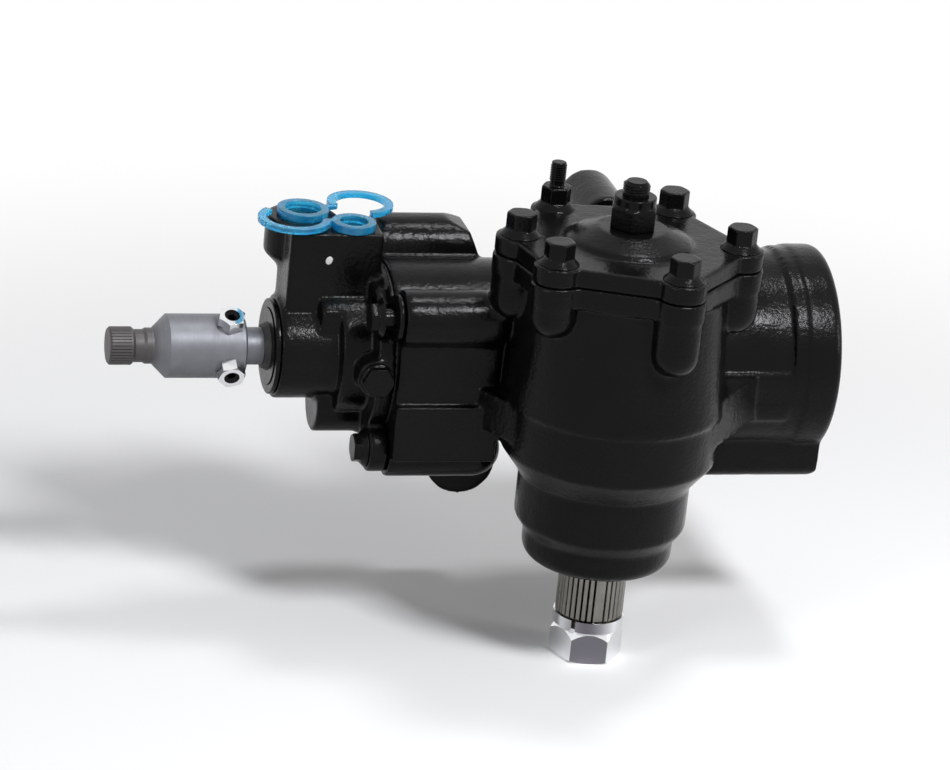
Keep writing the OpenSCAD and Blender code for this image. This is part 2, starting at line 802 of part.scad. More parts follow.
module port(at, plug_r) {
    translate([at.x, at.y, block_top_z - port_depth]) cylinder(r = plug_r - port_inset + fit, h = port_depth + cut);
    translate([at.x, at.y, worm_height]) cylinder(r = gallery_r, h = block_h);
}

module valve_housing() color(enamel) difference() {
    valve_body();
    tube_x(adjuster_thread_r, 0, snout_x - cut, snout_x + adjuster_depth);
    tube_x(sleeve_r + 2 * fit, 0, snout_x + adjuster_depth - cut, flange_x + cut + 2);
    tube_x(worm_bearing_r, 0, flange_x + 2, flange_x + spigot_len + cut);
    port(pressure_at, pressure_plug_r);
    port(return_at, return_plug_r);
    front_facing(passage_x, passage_front, 0) translate([0, 0, -passage_depth])
        cylinder(r = passage_r + fit, h = passage_depth + cut);
    at_valve_bolts(flange_x) translate([0, 0, -cut]) cylinder(r = bolt_r + pass_gap, h = flange_t + 2 * cut);
    tube_x(bore_r + seal_gap + seal_w, bore_r + seal_gap, flange_x - seal_w, flange_x + cut);
}

module valve_bolts() color(enamel) at_valve_bolts(flange_x - flange_t)
    flange_bolt(flange_t + bolt_depth, valve_head_h);

module flange_seal() color(rubber)
    tube_x(bore_r + seal_gap + seal_w - fit, bore_r + seal_gap + fit, flange_x - seal_w, flange_x);

module port_seat(at, plug_r)
    translate([at.x, at.y, block_top_z - port_depth]) difference() {
        cylinder(r = plug_r - port_inset, h = seat_ring_h);
        translate([0, 0, -cut]) cylinder(r = gallery_r, h = seat_ring_h + 2 * cut);
    }

module port_seats() color(bronze) {
    port_seat(pressure_at, pressure_plug_r);
    port_seat(return_at, return_plug_r);
}

module passage_plug() color(enamel) front_facing(passage_x, passage_front, 0) {
    translate([0, 0, -passage_depth]) cylinder(r = passage_r, h = passage_depth + passage_head_h);
    cylinder(r = passage_boss_r - 1, h = 2);
    translate([0, 0, 2]) hexagon(passage_af, passage_head_h);
}

module bearing_adjuster() color(blackened) turned_x([
    [input_r + pass_gap, snout_x - adjuster_lip], [adjuster_thread_r - fit, snout_x - adjuster_lip],
    [adjuster_thread_r - fit, snout_x + adjuster_depth], [adjuster_bore_r, snout_x + adjuster_depth],
    [adjuster_bore_r, snout_x - adjuster_lip + 1], [input_r + pass_gap, snout_x - adjuster_lip + 1]
]);

module adjuster_lock_ring() color(enamel)
    tube_x(snout_r - 2, adjuster_thread_r + fit, snout_x - adjuster_lip + 0.5, snout_x);

module input_seal() color(rubber)
    tube_x(adjuster_bore_r - fit, input_r + fit, snout_x - adjuster_lip + 1, snout_x + 4);

module input_bearing() color(steel)
    tube_x(adjuster_bore_r - fit, input_r + fit, snout_x + 4, snout_x + adjuster_depth - 1);

module dust_seal() color(rubber) turned_x([
    [input_r + fit, dust_seal_x - dust_seal_w], [input_r + 1.6, dust_seal_x - dust_seal_w],
    [input_r + 3, dust_seal_x], [input_r + fit, dust_seal_x]
]);

module worm_bearing() color(steel)
    tube_x(worm_bearing_r - fit, worm_journal_r + fit, flange_x + 2, flange_x + spigot_len - 1);

// Worm thread: the section with one ball groove, swept round once for each lead
module worm_thread() {
    length = thread_to - thread_from;
    along_x() translate([0, 0, thread_from]) rotate(360 * thread_from / lead)
        linear_extrude(
            length, twist = -360 * length / lead, slices = ceil(length / lead * slices_per_turn), segments = 1
        )
            polygon([for (i = [0:23]) let (a = -180 + 15 * i) polar(groove_section(a), a)]);
}

module drive_pin_hole(clearance)
    translate([worm_head_x - pin_half - clearance, centre_distance, worm_height + pin_circle_r])
        rotate([0, 90, 0]) cylinder(r = pin_r + clearance, h = 2 * (pin_half + clearance));

module worm() color(steel) difference() {
    union() {
        turned_x([
            [0, worm_head_x], [sleeve_r - pass_gap, worm_head_x], [sleeve_r - pass_gap, flange_x + 1.5],
            [worm_journal_r, flange_x + 1.5], [worm_journal_r, flange_x + spigot_len],
            [worm_neck_r, flange_x + spigot_len + 4], [worm_neck_r, thread_from + 1], [0, thread_from + 1]
        ]);
        worm_thread();
    }
    tube_x(bar_r + fit, 0, worm_head_x - cut, bar_end_x);
    tube_x(stub_pilot_r + pass_gap, 0, worm_head_x - cut, worm_head_x + pilot_len + pass_gap);
    drive_pin_hole(fit);
}

module valve_sleeve() color(steel) difference() {
    tube_x(sleeve_r, spool_r + fit, sleeve_left, worm_head_x);
    for (station = sleeve_ring_stations)
        tube_x(sleeve_r + cut, sleeve_r - 2, sleeve_left + station, sleeve_left + station + sleeve_ring_w);
    for (a = [0:60:300])
        translate([sleeve_left + sleeve_port_at, centre_distance, worm_height]) rotate([a + 30, 0, 0])
            cylinder(r = sleeve_port_r, h = sleeve_r + cut);
    drive_pin_hole(fit);
}

module sleeve_rings() color(rubber)
    for (station = sleeve_ring_stations)
        tube_x(sleeve_r + fit, sleeve_r - 2 + fit, sleeve_left + station, sleeve_left + station + sleeve_ring_w);

module drive_pin() color(steel) drive_pin_hole(0);

module torsion_pin_hole(clearance)
    translate([stub_left + torsion_pin_inset, centre_distance, worm_height - input_r + torsion_pin_sunk - clearance])
        cylinder(r = torsion_pin_r + clearance, h = 2 * (input_r - torsion_pin_sunk + clearance));

module stub_shaft() color(steel) difference() {
    turned_x([
        [0, stub_left], [input_r, stub_left], [input_r, spool_left], [spool_r, spool_left],
        [spool_r, worm_head_x - pass_gap], [stub_pilot_r, worm_head_x - pass_gap],
        [stub_pilot_r, worm_head_x + pilot_len], [0, worm_head_x + pilot_len]
    ]);
    tube_x(bar_r + fit, 0, stub_left - cut, stub_left + bar_grip);
    tube_x(bar_r + pass_gap, 0, stub_left + bar_grip - cut, worm_head_x + pilot_len + cut);
    torsion_pin_hole(fit);
    for (a = [0:60:300])
        translate([sleeve_left + 4, centre_distance, worm_height]) rotate([a, 0, 0])
            translate([0, -spool_slot_w / 2, spool_r - spool_slot_depth])
                cube([worm_head_x - sleeve_left - 10, spool_slot_w, spool_slot_depth + cut]);
}

module torsion_bar() color(steel) difference() {
    turned_x([
        [0, stub_left + 2], [bar_r, stub_left + 2], [bar_r, stub_left + bar_grip],
        [bar_waist_r, stub_left + bar_grip + 4], [bar_waist_r, bar_end_x - bar_grip - 3],
        [bar_r, bar_end_x - bar_grip + 1], [bar_r, bar_end_x - pass_gap], [0, bar_end_x - pass_gap]
    ]);
    torsion_pin_hole(fit);
}

module torsion_pin() color(steel) torsion_pin_hole(0);

// V grooves round a shaft that points along Z, with some places left blank
module spline_grooves(r, depth, width, count, length, blank = 0)
    for (i = [0:count - 1])
        if (blank == 0 || i % blank != 0)
            rotate(360 * i / count) linear_extrude(length)
                polygon([[r - depth, 0], [r + depth, -width], [r + depth, width]]);

module input_coupler() color(steel) difference() {
    turned_x([
        [0, input_end], [nose_spline_r - 1, input_end], [nose_spline_r, input_end + 1],
        [nose_spline_r, input_end + nose_band], [clamp_groove_r, input_end + nose_band + 1.5],
        [clamp_groove_r, input_end + nose_band + 6], [nose_spline_r - 0.6, input_end + nose_band + 7.5],
        [nose_spline_r - 0.6, nose_x], [coupler_r - 1, coupler_left], [coupler_r, coupler_left + 1],
        [coupler_r, coupler_x - 1], [coupler_r - 1, coupler_x], [0, coupler_x]
    ]);
    tube_x(input_r + fit, 0, stub_left - 2, coupler_x + cut);
    along_x() translate([0, 0, input_end - cut])
        spline_grooves(nose_spline_r, nose_groove_depth, nose_groove_w, nose_spline_count, nose_band - 0.7 + cut);
    at_set_screws() {
        cylinder(r = set_screw_r + fit, h = coupler_r + cut);
        translate([0, 0, set_nut_seat]) cylinder(r = set_nut_af / 2 + 1.6, h = 2 * cut);
    }
}

module set_screws() color(blackened) at_set_screws() {
    top = set_nut_seat + set_nut_h - set_screw_sunk;
    difference() {
        translate([0, 0, input_r + fit]) cylinder(r = set_screw_r, h = top - input_r - fit);
        translate([0, 0, top - set_socket_depth]) cylinder(r = set_socket_r, h = set_socket_depth + cut, $fn = 6);
    }
}

module set_screw_nuts() color(zinc) at_set_screws()
    translate([0, 0, set_nut_seat]) rotate(15) ring_nut(set_nut_af, set_nut_h, set_screw_r + fit);

// Places of the balls along the worm groove
module at_balls()
    for (i = [0:balls_per_turn * ball_turns - 1])
        let (station = ball_start + lead * i / balls_per_turn)
        along_x() rotate(360 * station / lead) translate([ball_circle_r, 0, station]) children();

// Spaces between the rack teeth, cut towards the sector
module rack_spaces() {
    half = (tooth_pitch + backlash) / 4;
    slope = tan(pressure_angle);
    reach = piston_r - rack_tip;
    for (i = [-1:1])
        translate([i * tooth_pitch, centre_distance, worm_height - piston_r]) linear_extrude(2 * piston_r)
            polygon([
                [-half + dedendum * slope, -rack_root], [half - dedendum * slope, -rack_root],
                [half + addendum * slope, -rack_tip], [half + addendum * slope, -rack_tip - reach],
                [-half - addendum * slope, -rack_tip - reach], [-half - addendum * slope, -rack_tip]
            ]);
}

module at_guides()
    for (side = [-1, 1])
        translate([guide_x, centre_distance + guide_floor, worm_height + side * guide_side]) children();

module rack_piston() color(steel) difference() {
    tube_x(piston_r, 0, -piston_left, piston_right);
    tube_x(nut_bore_r, 0, -piston_left - cut, piston_right + cut);
    translate([-piston_left - cut, centre_distance - piston_r - cut, worm_height - piston_r])
        cube([piston_left + piston_right - skirt_len + cut, piston_r - rack_tip + cut, 2 * piston_r]);
    rack_spaces();
    tube_x(piston_r + cut, piston_r - ring_depth, ring_from, ring_from + ring_w);
    at_balls() sphere(ball_r + fit);
    translate([guide_x - pocket_half, centre_distance + guide_floor, worm_height - pocket_side])
        cube([2 * pocket_half, piston_r, 2 * pocket_side]);
    at_guides() for (side = [-1, 1])
        translate([side * guide_bend, cut, 0]) rotate([90, 0, 0]) cylinder(r = guide_r + fit, h = guide_leg + 2 * cut);
}

module piston_ring() color(rubber)
    tube_x(bore_r - fit, piston_r - ring_depth + fit, ring_from, ring_from + ring_w);

module recirculating_balls() color(zinc) at_balls() sphere(ball_r);

module ball_guides() color(zinc) at_guides() {
    rotate_extrude(angle = 180) translate([guide_bend, 0]) circle(guide_r);
    for (side = [-1, 1])
        translate([side * guide_bend, 0, 0]) rotate([90, 0, 0]) cylinder(r = guide_r, h = guide_leg);
}

module guide_clamp() color(zinc) across(guide_x - clamp_w / 2, guide_x + clamp_w / 2) difference() {
    translate([guide_floor, -clamp_half]) square([guide_rise + clamp_t, 2 * clamp_half]);
    translate([guide_floor - cut, -clamp_half + clamp_t]) square([guide_rise + cut, 2 * (clamp_half - clamp_t)]);
}

module rack_plug() color(steel)
    tube_x(nut_bore_r - fit, 0, piston_right - rack_plug_len, piston_right);

// One sector tooth pointing along +X, with involute flanks
module sector_tooth() {
    flank = [for (i = [0:6]) base_r + 0.05 + (sector_tip_r - base_r - 0.05) * i / 6];
    foot_half = tooth_half(base_r + 0.05);
    polygon(concat(
        [polar(sector_root_r - cut, -foot_half)],
        [for (r = flank) polar(r, -tooth_half(r))],
        [for (i = [len(flank) - 1:-1:0]) polar(flank[i], tooth_half(flank[i]))],
        [polar(sector_root_r - cut, foot_half)]
    ));
}

module sector_shaft() color(steel) difference() {
    union() {
        turned_z([
            [0, thread_end_z], [pitman_thread_r - 1, thread_end_z], [pitman_thread_r, thread_end_z + 1],
            [pitman_thread_r, -spline_len / 2], [spline_r - spline_depth, -spline_len / 2],
            [spline_r, -spline_len / 2 + spline_depth], [spline_r, nose_z], [journal_r, nose_z + 1],
            [journal_r, shaft_top_z - 1], [journal_r - 1, shaft_top_z], [0, shaft_top_z]
        ]);
        translate([0, 0, worm_height - tooth_face / 2]) linear_extrude(tooth_face) {
            circle(sector_root_r);
            for (i = [-1:1]) rotate(90 + i * tooth_pitch_angle) sector_tooth();
        }
    }
    translate([0, 0, -spline_len / 2 - cut])
        spline_grooves(
            spline_r, spline_depth, spline_groove_w, spline_count, spline_len - spline_runout + cut, spline_blank
        );
    tube_z(lash_pocket_r, 0, shaft_top_z - lash_pocket_depth, shaft_top_z + cut);
}

module adjuster_retainer() color(steel) {
    low = shaft_top_z - lash_pocket_depth + lash_head_h + 2 * pass_gap;
    tube_z(lash_pocket_r - fit, adjuster_r + pass_gap, low, low + 4);
}

module lock_washer() color(zinc) difference() {
    tube_z(lock_washer_r, pitman_thread_r + fit, -spline_len / 2 - lock_washer_t, -spline_len / 2);
    rotate(washer_split_angle) translate([0, -washer_split / 2, -spline_len / 2 - lock_washer_t - cut])
        cube([lock_washer_r + cut, washer_split, lock_washer_t + 2 * cut]);
}

module pitman_nut() color(zinc)
    translate([0, 0, -spline_len / 2 - lock_washer_t - pitman_nut_h]) rotate(pitman_nut_turn)
        ring_nut(pitman_nut_af, pitman_nut_h, pitman_thread_r + fit, nut_crown);

// Port plug: a flanged cup with a split pull ring that is joined to it at one end
module pull_plug(at, plug_r, ring_at, ring_r, span) {
    stem_r = plug_r - port_inset;
    middle = ring_r - pull_w / 2;
    tip = ring_at + polar(middle, span[1]);
    way = at - tip;
    translate([at.x, at.y, block_top_z]) difference() {
        union() {
            cylinder(r = plug_r, h = plug_t);
            translate([0, 0, -plug_depth]) cylinder(r = stem_r, h = plug_depth + plug_t);
        }
        translate([0, 0, -plug_depth + plug_wall]) cylinder(r = stem_r - plug_wall, h = plug_depth + plug_t);
    }
    translate([ring_at.x, ring_at.y, block_top_z + ring_lift]) rotate(span[0])
        rotate_extrude(angle = span[1] - span[0])
            translate([ring_r - pull_w, 0]) square([pull_w, plug_t - ring_lift]);
    translate([tip.x, tip.y, block_top_z + ring_lift + link_inset]) rotate(atan2(way.y, way.x))
        translate([-2 * link_inset, -pull_w / 2 + link_inset, 0])
            cube([norm(way) - plug_r + 4 * link_inset, pull_w - 2 * link_inset, plug_t - ring_lift - 2 * link_inset]);
}

module pressure_plug() color(plastic_blue)
    pull_plug(pressure_at, pressure_plug_r, pressure_ring_at, pressure_ring_r, pressure_ring_span);

module return_plug() color(plastic_blue)
    pull_plug(return_at, return_plug_r, return_ring_at, return_ring_r, return_ring_span);

gear_housing();
sector_cover();
cover_seal();
cover_bolts();
stud_bolt();
lash_adjuster();
adjuster_nut();
cover_bushing();
sector_bearing();
sector_seal();
seal_retaining_ring();
dirt_seal();
end_stop_screw();
end_stop_washer();
valve_housing();
valve_bolts();
flange_seal();
port_seats();
passage_plug();
bearing_adjuster();
adjuster_lock_ring();
input_bearing();
input_seal();
dust_seal();
worm_bearing();
worm();
valve_sleeve();
sleeve_rings();
drive_pin();
stub_shaft();
torsion_bar();
torsion_pin();
input_coupler();
set_screws();
set_screw_nuts();
rack_piston();
piston_ring();
recirculating_balls();
ball_guides();
guide_clamp();
rack_plug();
sector_shaft();
adjuster_retainer();
lock_washer();
pitman_nut();
pressure_plug();
return_plug();
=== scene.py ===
import bmesh
import bpy
import json
import math
from mathutils import Matrix, Vector


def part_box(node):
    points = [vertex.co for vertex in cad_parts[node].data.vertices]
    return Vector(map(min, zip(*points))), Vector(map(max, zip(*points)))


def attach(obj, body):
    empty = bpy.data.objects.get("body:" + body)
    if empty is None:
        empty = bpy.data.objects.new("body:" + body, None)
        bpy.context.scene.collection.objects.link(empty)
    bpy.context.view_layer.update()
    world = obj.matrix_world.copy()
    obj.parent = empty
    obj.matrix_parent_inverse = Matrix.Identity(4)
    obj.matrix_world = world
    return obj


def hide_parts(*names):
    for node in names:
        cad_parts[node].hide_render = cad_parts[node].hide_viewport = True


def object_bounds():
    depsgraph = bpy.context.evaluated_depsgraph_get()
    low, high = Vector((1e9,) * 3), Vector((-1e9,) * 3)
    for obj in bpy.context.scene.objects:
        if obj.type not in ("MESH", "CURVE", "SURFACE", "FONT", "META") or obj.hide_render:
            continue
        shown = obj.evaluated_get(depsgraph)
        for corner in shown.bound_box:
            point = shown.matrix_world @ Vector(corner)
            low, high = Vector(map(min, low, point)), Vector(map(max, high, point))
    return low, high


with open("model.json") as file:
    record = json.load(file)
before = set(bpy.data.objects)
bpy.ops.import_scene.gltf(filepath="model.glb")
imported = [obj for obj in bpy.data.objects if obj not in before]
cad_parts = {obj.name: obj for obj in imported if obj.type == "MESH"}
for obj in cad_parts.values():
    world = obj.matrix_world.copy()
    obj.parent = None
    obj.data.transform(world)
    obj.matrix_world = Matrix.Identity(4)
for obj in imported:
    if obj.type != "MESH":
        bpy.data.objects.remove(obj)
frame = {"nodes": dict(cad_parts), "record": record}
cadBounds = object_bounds()
nodes = frame["nodes"]
scene = bpy.context.scene
mm = 0.001
slots = {row["node"]: row["material_slot"] for row in frame["record"]["subparts"]}
print("frame loaded:", len(nodes), "nodes")


# camera, at the photograph's viewing angle
cameraSetup = {
    "target": (-66.06, 30.0, 100.1),  # point at the middle of the picture
    "distance": 2600.0,
    "azimuth": -15.7,
    "elevation": 21.5,
    "roll": 5.9,
    "lens": 189.2,
    "sensor": 36.0,
    "farthest": 20.0,  # metres
}


def addCamera(setup):
    azimuth, elevation, roll = (math.radians(setup[key]) for key in ("azimuth", "elevation", "roll"))
    back = Vector((
        math.sin(azimuth) * math.cos(elevation), -math.cos(azimuth) * math.cos(elevation), math.sin(elevation)
    ))
    level = Vector((math.cos(azimuth), math.sin(azimuth), 0))
    right = Matrix.Rotation(roll, 3, back) @ level
    up = back.cross(right)
    lensData = bpy.data.cameras.new("camera")
    lensData.lens = setup["lens"]
    lensData.sensor_width = setup["sensor"]
    lensData.clip_end = setup["farthest"]
    camera = bpy.data.objects.new("camera", lensData)
    turn = Matrix((right, up, back)).transposed().to_4x4()
    place = (Vector(setup["target"]) + back * setup["distance"]) * mm
    camera.matrix_world = Matrix.Translation(place) @ turn
    scene.collection.objects.link(camera)
    scene.camera = camera


addCamera(cameraSetup)
scene.view_settings.view_transform = "Standard"
print("camera set")


# studio: pale floor, soft lamps, white surroundings
studio = {
    "floorSize": 14.0,
    "floorPale": (0.94, 0.94, 0.94),
    "floorDim": (0.2, 0.2, 0.2),  # what the part is lit by
    "floorRoughness": 0.9,
    "floorGloss": 0.1,
    "fadeFrom": 0.3,  # metres from the part where the floor starts to turn plain white
    "fadeTo": 0.8,
    "ambient": 0.25,  # the surroundings' share of light on the part
    "lamps": [
        {"name": "skyPanel", "at": (0.36, -0.78, 1.24), "to": (-0.05, 0.03, 0.1), "size": 0.3, "power": 16,
         "color": (0.97, 0.98, 1.0)},
        {"name": "topPanel", "at": (0.28, 0.2, 1.45), "to": (-0.05, 0.03, 0.1), "size": 0.24, "power": 5,
         "color": (0.97, 0.98, 1.0)},
        {"name": "leftPanel", "at": (-1.2, -0.8, 0.6), "to": (-0.1, 0.03, 0.08), "size": 0.35, "power": 4,
         "color": (0.94, 0.96, 1.0)},
        {"name": "rightPanel", "at": (1.2, -0.45, 0.5), "to": (0.0, 0.03, 0.08), "size": 0.35, "power": 3,
         "color": (1.0, 0.98, 0.95)},
    ],
}


def mixColor(tree, fac, first, second):
    mix = tree.nodes.new("ShaderNodeMix")
    mix.data_type = "RGBA"
    mix.inputs["A"].default_value = (*first, 1)
    mix.inputs["B"].default_value = (*second, 1)
    tree.links.new(fac, mix.inputs["Factor"])
    return mix.outputs["Result"]


def mathIn(tree, kind, first, second):
    step = tree.nodes.new("ShaderNodeMath")
    step.operation = kind
    for socket, value in zip(step.inputs, (first, second)):
        if isinstance(value, (int, float)):
            socket.default_value = value
        else:
            tree.links.new(value, socket)
    return step.outputs[0]


def addLamp(lamp):
    data = bpy.data.lights.new(lamp["name"], "AREA")
    data.shape = "SQUARE"
    data.size = lamp["size"]
    data.energy = lamp["power"]
    data.color = lamp["color"]
    item = bpy.data.objects.new(lamp["name"], data)
    item.location = lamp["at"]
    aim = Vector(lamp["to"]) - Vector(lamp["at"])
    item.rotation_euler = aim.to_track_quat("-Z", "Y").to_euler()
    scene.collection.objects.link(item)


def seenRays(tree):
    # 1 for rays that show the surroundings: straight, mirrored or through plastic
    path = tree.nodes.new("ShaderNodeLightPath")
    mirrored = mathIn(tree, "MAXIMUM", path.outputs["Is Camera Ray"], path.outputs["Is Glossy Ray"])
    return mathIn(tree, "MAXIMUM", mirrored, path.outputs["Is Transmission Ray"])


def addWorld():
    world = bpy.data.worlds.new("studioWorld")
    scene.world = world
    world.use_nodes = True
    tree = world.node_tree
    light = tree.nodes["Background"]
    light.inputs["Color"].default_value = (1, 1, 1, 1)
    spread = tree.nodes.new("ShaderNodeMapRange")
    spread.inputs["To Min"].default_value = studio["ambient"]
    tree.links.new(seenRays(tree), spread.inputs["Value"])
    tree.links.new(spread.outputs["Result"], light.inputs["Strength"])


def addFloor():
    bm = bmesh.new()
    bmesh.ops.create_grid(bm, x_segments=1, y_segments=1, size=studio["floorSize"] / 2)
    bmesh.ops.translate(bm, verts=bm.verts, vec=(0, 0, cadBounds[0][2]))
    mesh = bpy.data.meshes.new("floor")
    bm.to_mesh(mesh)
    bm.free()
    floor = bpy.data.objects.new("floor", mesh)
    scene.collection.objects.link(floor)
    mat = bpy.data.materials.new("paleFloor")
    mat.use_nodes = True
    # pale with the part's shadow near it, plain white further off, and dim where it would only light the part
    tree = mat.node_tree
    shader = tree.nodes["Principled BSDF"]
    shader.inputs["Roughness"].default_value = studio["floorRoughness"]
    shader.inputs["Specular IOR Level"].default_value = studio["floorGloss"]
    seen = seenRays(tree)
    tree.links.new(mixColor(tree, seen, studio["floorDim"], studio["floorPale"]), shader.inputs["Base Color"])
    where = tree.nodes.new("ShaderNodeTexCoord")
    away = tree.nodes.new("ShaderNodeVectorMath")
    away.operation = "LENGTH"
    tree.links.new(where.outputs["Object"], away.inputs[0])
    fade = tree.nodes.new("ShaderNodeMapRange")
    fade.interpolation_type = "SMOOTHSTEP"
    fade.inputs["From Min"].default_value = studio["fadeFrom"]
    fade.inputs["From Max"].default_value = studio["fadeTo"]
    tree.links.new(away.outputs["Value"], fade.inputs["Value"])
    plain = tree.nodes.new("ShaderNodeEmission")
    turn = tree.nodes.new("ShaderNodeMixShader")
    tree.links.new(mathIn(tree, "MULTIPLY", fade.outputs["Result"], seen), turn.inputs["Fac"])
    tree.links.new(shader.outputs["BSDF"], turn.inputs[1])
    tree.links.new(plain.outputs["Emission"], turn.inputs[2])
    tree.links.new(turn.outputs["Shader"], tree.nodes["Material Output"].inputs["Surface"])
    mesh.materials.append(mat)


for lamp in studio["lamps"]:
    addLamp(lamp)
addWorld()
addFloor()
print("studio set")


# node groups shared by the finishes
skinLook = {"roughness": 0.55, "waveScale": 90.0, "waveHeight": 2.0, "patchScale": 34.0, "patchDetail": 3.0}
lineLook = {"squeeze": (1.0, 0.02, 0.02), "roughness": 0.6, "mottleScale": 160.0, "mottleDetail": 4.0}


def newGroup(name, inputs, outputs):
    group = bpy.data.node_groups.new(name, "ShaderNodeTree")
    for label, kind, value in inputs:
        socket = group.interface.new_socket(label, in_out="INPUT", socket_type=kind)
        socket.default_value = value
    for label, kind in outputs:
        group.interface.new_socket(label, in_out="OUTPUT", socket_type=kind)
    entry = group.nodes.new("NodeGroupInput")
    leave = group.nodes.new("NodeGroupOutput")
    return group, entry, leave


def noiseIn(tree, where, scale, detail=2.0, rough=0.5):
    noise = tree.nodes.new("ShaderNodeTexNoise")
    noise.inputs["Detail"].default_value = detail
    noise.inputs["Roughness"].default_value = rough
    if isinstance(scale, (int, float)):
        noise.inputs["Scale"].default_value = scale
    else:
        tree.links.new(scale, noise.inputs["Scale"])
    tree.links.new(where, noise.inputs["Vector"])
    return noise.outputs["Fac"]


def makeCastSkin():
    # sand-cast skin under thick enamel: pebble, orange peel and slow waves
    group, entry, leave = newGroup(
        "castSkin",
        [("Where", "NodeSocketVector", (0, 0, 0)), ("Pebble", "NodeSocketFloat", 420.0),
         ("Coarse", "NodeSocketFloat", 1.0)],
        [("Height", "NodeSocketFloat"), ("Mottle", "NodeSocketFloat")],
    )
    where = entry.outputs["Where"]
    pebble = noiseIn(group, where, entry.outputs["Pebble"], rough=skinLook["roughness"])
    waves = noiseIn(group, where, skinLook["waveScale"], 1.0)
    patches = noiseIn(group, where, skinLook["patchScale"], skinLook["patchDetail"])
    patchy = mathIn(group, "MULTIPLY", pebble, mathIn(group, "MULTIPLY", patches, entry.outputs["Coarse"]))
    height = mathIn(group, "MULTIPLY_ADD", waves, skinLook["waveHeight"])
    group.links.new(patchy, height.node.inputs[2])
    group.links.new(height, leave.inputs["Height"])
    group.links.new(patches, leave.inputs["Mottle"])
    return group


def makeTurnedLines():
    # tool lines round the worm axis: bands along X, broken up a little
    group, entry, leave = newGroup(
        "turnedLines",
        [("Where", "NodeSocketVector", (0, 0, 0)), ("Lines", "NodeSocketFloat", 1500.0)],
        [("Height", "NodeSocketFloat"), ("Mottle", "NodeSocketFloat")],
    )
    where = entry.outputs["Where"]
    squeeze = group.nodes.new("ShaderNodeMapping")
    squeeze.inputs["Scale"].default_value = lineLook["squeeze"]
    group.links.new(where, squeeze.inputs["Vector"])
    lines = noiseIn(group, squeeze.outputs["Vector"], entry.outputs["Lines"], rough=lineLook["roughness"])
    mottle = noiseIn(group, where, lineLook["mottleScale"], lineLook["mottleDetail"], lineLook["roughness"])
    group.links.new(lines, leave.inputs["Height"])
    group.links.new(mottle, leave.inputs["Mottle"])
    return group


castSkin = makeCastSkin()
turnedLines = makeTurnedLines()


def newFinish(name):
    mat = bpy.data.materials.new(name)
    mat.use_nodes = True
    tree = mat.node_tree
    shader = tree.nodes["Principled BSDF"]
    where = tree.nodes.new("ShaderNodeTexCoord")
    return mat, tree, shader, where.outputs["Object"]


def useGroup(tree, group, where, **values):
    item = tree.nodes.new("ShaderNodeGroup")
    item.node_tree = group
    tree.links.new(where, item.inputs["Where"])
    for label, value in values.items():
        item.inputs[label].default_value = value
    return item


def bumpFrom(tree, shader, height, strength, distance):
    bump = tree.nodes.new("ShaderNodeBump")
    bump.inputs["Strength"].default_value = strength
    bump.inputs["Distance"].default_value = distance
    tree.links.new(height, bump.inputs["Height"])
    tree.links.new(bump.outputs["Normal"], shader.inputs["Normal"])


def rangeFrom(tree, value, low, high):
    # noise mostly runs from 0.3 to 0.7
    spread = tree.nodes.new("ShaderNodeMapRange")
    spread.inputs["From Min"].default_value = 0.3
    spread.inputs["From Max"].default_value = 0.7
    spread.inputs["To Min"].default_value = low
    spread.inputs["To Max"].default_value = high
    tree.links.new(value, spread.inputs["Value"])
    return spread.outputs["Result"]


enamelLook = {"dark": (0.0018, 0.0018, 0.002), "light": (0.0045, 0.0045, 0.0048), "gloss": 0.11}


def enamelFinish(name, pebble, coarse, bump, roughness):
    mat, tree, shader, where = newFinish(name)
    skin = useGroup(tree, castSkin, where, Pebble=pebble, Coarse=coarse)
    tone = mixColor(tree, skin.outputs["Mottle"], enamelLook["dark"], enamelLook["light"])
    tree.links.new(tone, shader.inputs["Base Color"])
    tree.links.new(rangeFrom(tree, skin.outputs["Mottle"], *roughness), shader.inputs["Roughness"])
    shader.inputs["Specular IOR Level"].default_value = enamelLook["gloss"]
    bumpFrom(tree, shader, skin.outputs["Height"], 1.0, bump * mm)
    return mat


def metalFinish(name, dark, light, lines, roughness, bump):
    mat, tree, shader, where = newFinish(name)
    grain = useGroup(tree, turnedLines, where, Lines=lines)
    tone = mixColor(tree, grain.outputs["Mottle"], dark, light)
    tree.links.new(tone, shader.inputs["Base Color"])
    tree.links.new(rangeFrom(tree, grain.outputs["Height"], *roughness), shader.inputs["Roughness"])
    shader.inputs["Metallic"].default_value = 1.0
    bumpFrom(tree, shader, grain.outputs["Height"], bump, 0.1 * mm)
    return mat


def darkenBelow(mat, value, span, dark):
    # dark below the span, the metal's own tone above it
    tree = mat.node_tree
    base = tree.nodes["Principled BSDF"].inputs["Base Color"]
    tone = base.links[0].from_socket
    place = tree.nodes.new("ShaderNodeMapRange")
    place.inputs["From Min"].default_value, place.inputs["From Max"].default_value = span
    tree.links.new(value, place.inputs["Value"])
    mix = tree.nodes.new("ShaderNodeMix")
    mix.data_type = "RGBA"
    mix.inputs["A"].default_value = (*dark, 1)
    tree.links.new(tone, mix.inputs["B"])
    tree.links.new(place.outputs["Result"], mix.inputs["Factor"])
    tree.links.new(mix.outputs["Result"], base)


def objectPlace(tree):
    return next(item for item in tree.nodes if item.type == "TEX_COORD").outputs["Object"]


# turned grey body with a darker phosphated nose
couplerLook = {"dark": (0.15, 0.153, 0.17), "light": (0.22, 0.224, 0.245), "lines": 1500.0, "roughness": (0.42, 0.56),
               "bump": 0.3, "nose": (0.085, 0.079, 0.08), "noseEnd": (-233.5 * mm, -229.0 * mm), "metallic": 0.6}


